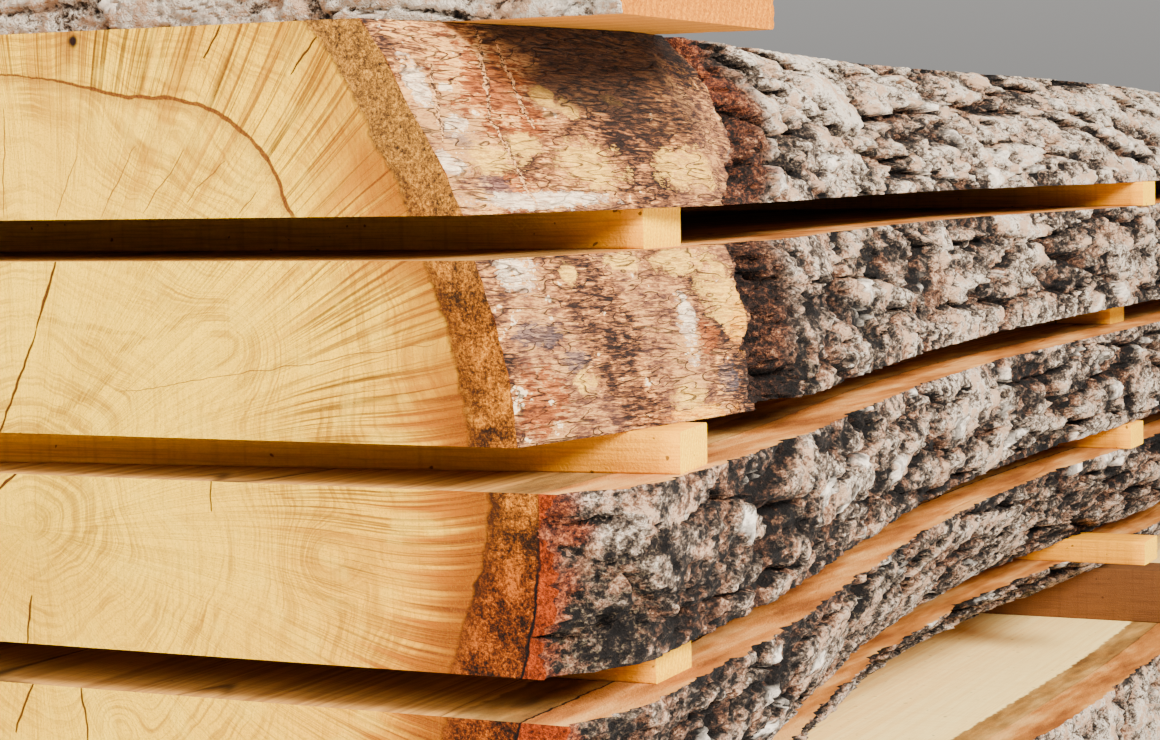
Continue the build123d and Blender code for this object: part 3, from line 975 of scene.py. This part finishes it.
def log_slab(name, floor, low, thickness, rows, count, near_gap, reverse=False):
    """One slab of the log, standing for the CAD node of its name: at each height its half width is the
    trunk's plus the bark's relief, which is flatter at the cuts."""
    stations = spread(count, near_gap, FAR_GAP, LOG_LENGTH)
    heights = edge_rows(rows, low, low + thickness)
    along, height = np.meshgrid(LOG_LENGTH - stations if reverse else stations, heights)
    rise = height - pith_height(along)
    share = (height - low) / thickness
    from_cut = np.minimum(height - heights[0], heights[-1] - height)
    halves, marks = {}, {}
    for side in (1, -1):
        half, angle = log_side(trunk_radius, rise, along, side)
        relief, tone, flake = bark_relief(along, angle * ARC_RADIUS)
        chip = np.maximum(rough(along / 0.012, angle * 0 + side, 71) + 0.3, 0) * 3.0 * MM
        relief = relief * (1 - CUT_FLATTENS * np.exp(-from_cut / CUT_REACH))
        relief = relief - chip * np.exp(-from_cut / CHIP_REACH)
        half = half + relief / np.maximum(np.abs(np.cos(angle)), 0.45)
        bare, torn, stain = np.zeros((3,) + relief.shape)

        # The butt end: rusty, crumbled and darker than the rest
        crumbs = rough(along / 0.018, height / 0.014, 73)
        rust = 1 - step(1 * MM, 20 * MM, along + 12 * MM * crumbs)
        broken = step(BROKEN_REACH if name in BROKEN_BUTTS else WORN_REACH, 0.0, along + 9 * MM * crumbs) ** 2
        half = half - broken * (BROKEN_BUTTS.get(name, WORN_BUTT) if side > 0 else WORN_BUTT)
        if name not in ("slab_1", "base_slab"):
            # How much darker the bark is at the butt, and how far along that reaches
            dark, reach = (0.28, 0.44) if name == "slab_2" else (0.17, 0.34)
            tone = np.maximum(tone - dark * bump(along, 0, reach), 0.4 * bump(along, 0, 0.13))
        if side > 0 and name in BARE_EDGES:
            core, _ = log_side(trunk_radius, rise, along, side, stripped_depth(name, along, rise))
            half, bare, torn, rust, stain = torn_edge(name, along, height, share, half, core)
            tone = np.clip(tone + torn * 0.35 * rough(along / 0.01, height / 0.006, 97), 0, 1)
        limit = CAD_HIGH[0] - MIDDLE_X if side > 0 else MIDDLE_X - CAD_LOW[0]
        halves[side] = np.minimum(half, limit - 0.2 * MM)
        marks[side] = {"tone": tone, "flake": flake, "bare": bare, "torn": torn, "rust": rust, "stain": stain}
    (across, run, up), faces, kinds, attributes = closed_slab(stations, heights, halves, marks)
    place = np.stack([across + MIDDLE_X, run + BUTT_Y, up - low + floor], axis=1)
    if reverse:
        run = LOG_LENGTH - run
    rise = up - pith_height(run)
    attributes["log_place"] = np.stack([across, run + (OTHER_LOG if reverse else 0.0), rise], axis=1)
    attributes["trunk"] = trunk_radius(run, np.arctan2(rise, across))
    if name in BARE_DEPTHS:
        lost = np.maximum(stripped_depth(name, run, rise) - PHLOEM_OUTSIDE, 0)
        attributes["trunk"] = attributes["trunk"] - lost * (across > 0)
    if reverse:
        face = material(face_grain, "base_face", (247, 220, 140), (242, 206, 122), (218, 170, 96), 0.0)
    else:
        face = material(face_grain, "slab_face", (186, 136, 66), (146, 100, 46), (104, 66, 30))
    looks = [material(end_grain, "end_grain"), face, material(bark_skin, *BARKS.get(name, OTHER_BARK))]
    piece = new_piece("live_edge_" + name, place, faces, looks, kinds, 2, attributes)
    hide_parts(name)


def bark_board():
    """The board across the top: bark on its long edges, sawn above, below and at its ends. Its half
    width is the small log's plus half of the bark's relief."""
    (low_x, low_y, floor), (high_x, high_y, top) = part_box("top_board")
    middle_x, middle_y = (low_x + high_x) / 2, (low_y + high_y) / 2
    stations = np.linspace(low_x, high_x, BOARD_STATIONS) - middle_x
    heights = edge_rows(BOARD_ROWS, 0.0, top - floor)
    along, rise = np.meshgrid(stations, heights - BOARD_PITH_HEIGHT)
    from_cut = np.minimum(rise - rise[0], rise[-1] - rise)
    halves, marks = {}, {}
    for side in (1, -1):
        # The front edge faces -Y, so the far side of the log is at its right
        half, angle = log_side(lambda s, a: board_log_radius(s, math.pi - a), rise, along, side)
        arc = angle * BOARD_LOG_RADIUS
        relief, tone, flake = bark_relief(along * BOARD_PITCH + 5.0 * side, arc * BOARD_PITCH)
        relief = np.clip(relief * 0.5, -5 * MM, 0.6 * MM) - 1.2 * MM
        chip = 0.5 + 0.5 * noise(along / 0.01, rise * 0, 61)
        halves[side] = half + relief - 1.5 * MM * np.exp(-from_cut / (2 * MM)) * chip
        marks[side] = {"tone": tone, "flake": flake}
    (across, run, up), faces, kinds, attributes = closed_slab(stations, heights, halves, marks)
    attributes["own_place"] = np.stack([across, run, up], axis=1)
    place = np.stack([run + middle_x, middle_y - across, up + floor], axis=1)
    end = material(soft_wood, "board_end", (200, 124, 0), (140, 74, 0), (96, 46, 0), 900.0, 0.9)
    face = material(soft_wood, "board_face", (200, 132, 40), (160, 98, 30), (120, 68, 24), 260.0)
    bark = material(bark_skin, "bark_board", 0.6, None, (), BOARD_PITCH)
    piece = new_piece("bark_edged_board", place, faces, [end, face, bark], kinds, 2, attributes)
    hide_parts("top_board")


def stick(name, centre, size, turn, looks, replaced, seed):
    """A sawn stick: a rectangle with worn corners carried along a straight line, slightly uneven."""
    length, width, height = size
    half_w, half_h, worn = width / 2, height / 2, WORN_CORNER
    corner = np.array([0.0, 0.35, 0.65, 1.0]) * math.pi / 2
    ring_u, ring_v = [], []
    for quarter, (sign_u, sign_v) in enumerate(((1, -1), (1, 1), (-1, 1), (-1, -1))):
        angle = corner + (quarter - 1) * math.pi / 2
        ring_u.append(sign_u * (half_w - worn) + worn * np.cos(angle))
        ring_v.append(sign_v * (half_h - worn) + worn * np.sin(angle))
    s, u = np.meshgrid(np.linspace(-0.5, 0.5, STICK_STATIONS) * length, np.concatenate(ring_u))
    v = np.repeat(np.concatenate(ring_v)[:, None], STICK_STATIONS, 1)
    wobble = 0.35 * MM * rough(s / 0.05, u / 0.01 + v / 0.01, seed)
    u = u + np.where(np.abs(u) > half_w - 1.5 * worn, np.minimum(wobble, 0) * np.sign(u), 0)
    numbers = np.arange(u.size).reshape(u.shape)
    quads = grid_faces(np.vstack([numbers, numbers[:1]])).tolist()

    # Each end is a fan of triangles round a point in its middle
    tips = []
    for station, order in ((0, 1), (-1, -1)):
        ring = numbers[:, station]
        pair = (ring, np.roll(ring, -1))[::order]
        tips += np.stack([*pair, np.full(len(ring), u.size - station)], axis=1).tolist()
    s = np.append(s.ravel(), (-length / 2, length / 2))
    u, v = np.append(u.ravel(), (0, 0)), np.append(v.ravel(), (0, 0))
    x = centre[0] + s * math.cos(turn) + u * math.sin(turn)
    y = centre[1] + s * math.sin(turn) - u * math.cos(turn)
    kinds = np.array([0] * len(quads) + [1] * len(tips))
    own = {"own_place": np.stack([u, s + seed * 0.37, v], axis=1)}
    piece = new_piece(name, np.stack([x, y, centre[2] + v], axis=1), quads + tips, looks, kinds, 0, own)
    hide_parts(replaced)


def camera_frame():
    """The photograph's camera: turned round the stack, slightly above it, a long lens."""
    data = bpy.data.cameras.new("photo_camera")
    data.lens = CAMERA_LENS
    camera = bpy.data.objects.new("photo_camera", data)
    bpy.context.scene.collection.objects.link(camera)
    turn = Matrix.Rotation(math.radians(CAMERA_TURN), 4, "Z")
    tilt = Matrix.Rotation(math.radians(90 - CAMERA_RISE), 4, "X")
    roll = Matrix.Rotation(math.radians(CAMERA_ROLL), 4, "Z")
    camera.matrix_world = Matrix.Translation(CAMERA_EYE) @ turn @ tilt @ roll
    bpy.context.scene.camera = camera


def lamp(name, place, aim, size, power, colour):
    """A round, soft light at a place, turned to its aim."""
    data = bpy.data.lights.new(name, "AREA")
    data.shape = "DISK"
    data.size = size
    data.energy = power
    data.color = colour
    light = bpy.data.objects.new(name, data)
    light.location = place
    light.rotation_euler = (Vector(aim) - Vector(place)).to_track_quat("-Z", "Y").to_euler()
    bpy.context.scene.collection.objects.link(light)


def middle_and_size(name):
    """The middle and the size of a CAD node's box."""
    low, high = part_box(name)
    return (Vector(low) + Vector(high)) / 2, Vector(high) - Vector(low)


class LumberSettings(bpy.types.PropertyGroup):
    """Sizes and colours that a user of the stack may change."""

    rows: bpy.props.IntProperty(
        name="Edge rows", description="Rows of points over a bark edge", default=64, min=8)
    stations: bpy.props.IntProperty(
        name="Stations", description="Points along a slab", default=560, min=40)
    sticker_length: bpy.props.FloatProperty(
        name="Sticker length", description="Length of a lath", default=540 * MM, unit="LENGTH")
    sticker_width: bpy.props.FloatProperty(
        name="Sticker width", description="Width of a lath laid flat", default=47 * MM, unit="LENGTH")
    sticker_colour: bpy.props.FloatVectorProperty(
        name="Sticker colour", description="The laths' lightest colour", size=4, subtype="COLOR",
        default=paint(228, 156, 0))
    floor_colour: bpy.props.FloatVectorProperty(
        name="Floor colour", description="Colour of the floor", size=4, subtype="COLOR",
        default=(0.72, 0.71, 0.69, 1.0))


class LUMBER_OT_slabs(bpy.types.Operator):
    """Build the five slabs of the log and the slab that the stack stands on"""

    bl_idname = "lumber.slabs"
    bl_label = "Slabs"

    def execute(self, context):
        settings = context.scene.lumber
        floors = {name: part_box(name)[0][2] for name in SLABS}
        thick = {name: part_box(name)[1][2] - floors[name] for name in SLABS}
        lows = {"slab_1": thick["slab_2"] + SAW_KERF, "slab_2": 0.0}
        low = 0.0
        for name in ("slab_3", "slab_4", "slab_5"):
            low -= SAW_KERF + thick[name]
            lows[name] = low
        for name in lows:
            rows = settings.rows if thick[name] > THIN_SLAB else settings.rows // 2
            log_slab(name, floors[name], lows[name], thick[name], rows, settings.stations, NEAR_GAP)
        low = -PITH_BELOW_CUT - thick["base_slab"] / 2
        sizes = floors["base_slab"], low, thick["base_slab"], BASE_ROWS, BASE_STATIONS, BASE_GAP
        log_slab("base_slab", *sizes, reverse=True)
        return {"FINISHED"}


class LUMBER_OT_stickers(bpy.types.Operator):
    """Build the laths between the slabs and the square bearers under them"""

    bl_idname = "lumber.stickers"
    bl_label = "Stickers and bearers"

    def execute(self, context):
        settings = context.scene.lumber
        pale = tuple(settings.sticker_colour)
        side = material(soft_wood, "sticker_side", pale, (196, 120, 0), (142, 78, 4), 420.0, 0.3)
        tip = material(soft_wood, "sticker_tip", (240, 190, 0), (204, 140, 0), (158, 96, 0), 1500.0, 0.6)
        beam = material(soft_wood, "bearer_side", (112, 70, 34), (92, 55, 26), (66, 38, 18), 260.0)
        for number, (name, skew) in enumerate(SKEWS.items()):
            centre, (_, _, height) = middle_and_size(name)
            size = (settings.sticker_length, settings.sticker_width, height)
            looks, turn = (side, tip), math.radians(skew)
            stick("lath_" + name, centre, size, turn, looks, name, 200 + number)
        for number, name in enumerate(("bearer_near", "bearer_middle", "bearer_far")):
            centre, size = middle_and_size(name)
            stick("timber_" + name, centre, size, 0.0, (beam, beam), name, 300 + number)
        return {"FINISHED"}


class LUMBER_OT_board(bpy.types.Operator):
    """Build the bark-edged board across the top"""

    bl_idname = "lumber.board"
    bl_label = "Top board"

    def execute(self, context):
        bark_board()
        return {"FINISHED"}


class LUMBER_OT_stage(bpy.types.Operator):
    """Lay the floor, hang the lights and place the camera"""

    bl_idname = "lumber.stage"
    bl_label = "Stage"

    def execute(self, context):
        mesh = bpy.data.meshes.new("floor")
        corners = [(x * FLOOR_REACH, y * FLOOR_REACH, 0) for x, y in ((-1, -1), (1, -1), (1, 1), (-1, 1))]
        mesh.from_pydata(corners, [], [(0, 1, 2, 3)])
        floor = bpy.data.objects.new("floor", mesh)
        context.scene.collection.objects.link(floor)
        plain = Finish("pale_floor")
        colour = tuple(context.scene.lumber.floor_colour)
        mesh.materials.append(plain.done(colour, 0.9, plain.relief(0.0, 0.0, 0.001), 0.3))
        world = bpy.data.worlds.new("studio")
        world.use_nodes = True
        sky = Nodes(world.node_tree)
        rise = sky.parts(sky.node("TexCoord"))[2]
        shade = sky.mix(rise.step(-0.05, 0.75), (0.3, 0.29, 0.28, 1.0), (2.05, 2.0, 1.9, 1.0))
        plug(world.node_tree, world.node_tree.nodes["Background"].inputs["Color"], shade)
        context.scene.world = world
        lamp("key", (3.9, -2.3, 2.7), (0.1, -0.9, 0.3), 1.7, 980.0, (1.0, 0.95, 0.88))
        lamp("front", (-0.6, -5.2, 2.6), (0.0, -1.0, 0.3), 2.2, 150.0, (1.0, 0.96, 0.91))
        camera_frame()
        return {"FINISHED"}


class LUMBER_PT_panel(bpy.types.Panel):
    """The stack's operators in the sidebar"""

    bl_label = "Stack of Lumber"
    bl_idname = "LUMBER_PT_panel"
    bl_space_type = "VIEW_3D"
    bl_region_type = "UI"
    bl_category = "Lumber"

    def draw(self, context):
        for operator in OPERATORS:
            self.layout.operator(operator.bl_idname)
        for name in LumberSettings.__annotations__:
            self.layout.prop(context.scene.lumber, name)


OPERATORS = (LUMBER_OT_slabs, LUMBER_OT_stickers, LUMBER_OT_board, LUMBER_OT_stage)
CLASSES = (LumberSettings,) + OPERATORS + (LUMBER_PT_panel,)


def register():
    for kind in CLASSES:
        bpy.utils.register_class(kind)
    bpy.types.Scene.lumber = bpy.props.PointerProperty(type=LumberSettings)


def unregister():
    del bpy.types.Scene.lumber
    for kind in reversed(CLASSES):
        bpy.utils.unregister_class(kind)


def main():
    register()
    bpy.ops.lumber.slabs()
    bpy.ops.lumber.stickers()
    bpy.ops.lumber.board()
    bpy.ops.lumber.stage()


if __name__ == "__main__":
    main()
